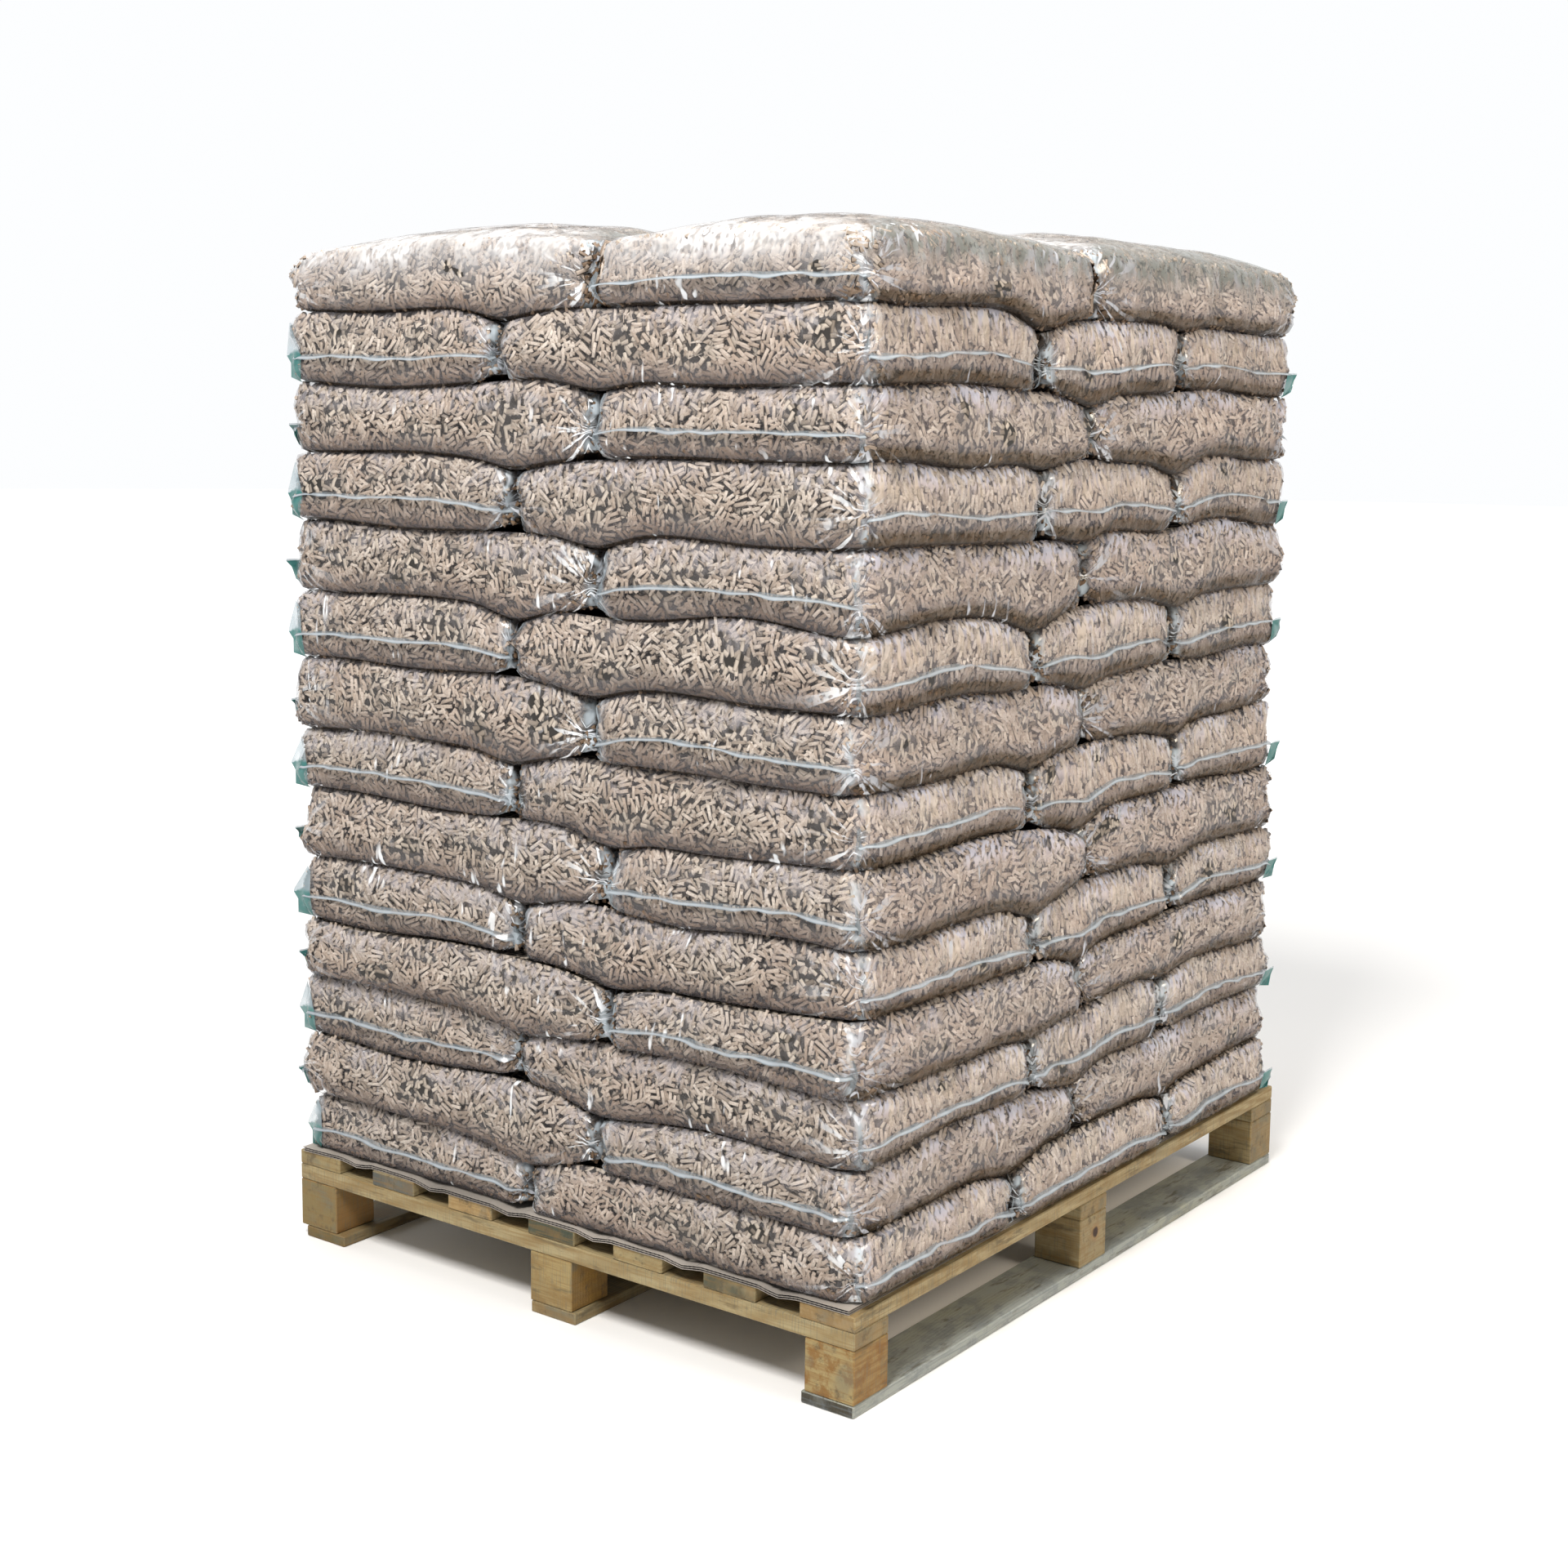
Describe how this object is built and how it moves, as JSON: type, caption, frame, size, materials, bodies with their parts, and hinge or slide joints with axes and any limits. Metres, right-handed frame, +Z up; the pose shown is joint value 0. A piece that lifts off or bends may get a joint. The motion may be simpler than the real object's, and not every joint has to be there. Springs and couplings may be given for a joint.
{
  "type": "pallet of sacks",
  "caption": "Full wooden block pallet of clear film sacks of wood fuel pellets, laid flat in interlocking layers over a corrugated board liner.",
  "frame": {"origin": "on the floor under the middle of the pallet", "axes": "+Z up; X along the pallet's short side, Y along its long side, the front face towards -Y"},
  "size_m": [1.014, 1.206, 1.4713],
  "materials": {
    "bottom_board_left": "sawn pine",
    "bottom_board_middle": "sawn pine",
    "bottom_board_right": "sawn pine",
    "block_front_left": "sawn pine",
    "block_front_middle": "sawn pine",
    "block_front_right": "sawn pine",
    "block_middle_left": "sawn pine",
    "block_middle_middle": "sawn pine",
    "block_middle_right": "sawn pine",
    "block_back_left": "sawn pine",
    "block_back_middle": "sawn pine",
    "block_back_right": "sawn pine",
    "stringer_front": "sawn pine",
    "stringer_middle": "sawn pine",
    "stringer_back": "sawn pine",
    "deck_board_1": "sawn pine",
    "deck_board_2": "sawn pine",
    "deck_board_3": "sawn pine",
    "deck_board_4": "sawn pine",
    "deck_board_5": "sawn pine",
    "deck_board_6": "sawn pine",
    "deck_board_7": "sawn pine",
    "cardboard_liner": "brown corrugated board",
    "sack_layer_01": "clear film over pale wood pellets",
    "sack_layer_02": "clear film over pale wood pellets",
    "sack_layer_03": "clear film over pale wood pellets",
    "sack_layer_04": "clear film over pale wood pellets",
    "sack_layer_05": "clear film over pale wood pellets",
    "sack_layer_06": "clear film over pale wood pellets",
    "sack_layer_07": "clear film over pale wood pellets",
    "sack_layer_08": "clear film over pale wood pellets",
    "sack_layer_09": "clear film over pale wood pellets",
    "sack_layer_10": "clear film over pale wood pellets",
    "sack_layer_11": "clear film over pale wood pellets",
    "sack_layer_12": "clear film over pale wood pellets",
    "sack_layer_13": "clear film over pale wood pellets",
    "sack_layer_14": "clear film over pale wood pellets"
  },
  "bodies": {
    "root": {"bottom_board_left": "bottom_board_left", "bottom_board_middle": "bottom_board_middle", "bottom_board_right": "bottom_board_right", "block_front_left": "block_front_left", "block_front_middle": "block_front_middle", "block_front_right": "block_front_right", "block_middle_left": "block_middle_left", "block_middle_middle": "block_middle_middle", "block_middle_right": "block_middle_right", "block_back_left": "block_back_left", "block_back_middle": "block_back_middle", "block_back_right": "block_back_right", "stringer_front": "stringer_front", "stringer_middle": "stringer_middle", "stringer_back": "stringer_back", "deck_board_1": "deck_board_1", "deck_board_2": "deck_board_2", "deck_board_3": "deck_board_3", "deck_board_4": "deck_board_4", "deck_board_5": "deck_board_5", "deck_board_6": "deck_board_6", "deck_board_7": "deck_board_7", "cardboard_liner": "cardboard_liner", "sack_layer_01": "sack_layer_01", "sack_layer_02": "sack_layer_02", "sack_layer_03": "sack_layer_03", "sack_layer_04": "sack_layer_04", "sack_layer_05": "sack_layer_05", "sack_layer_06": "sack_layer_06", "sack_layer_07": "sack_layer_07", "sack_layer_08": "sack_layer_08", "sack_layer_09": "sack_layer_09", "sack_layer_10": "sack_layer_10", "sack_layer_11": "sack_layer_11", "sack_layer_12": "sack_layer_12", "sack_layer_13": "sack_layer_13", "sack_layer_14": "sack_layer_14"}
  },
  "joints": []
}
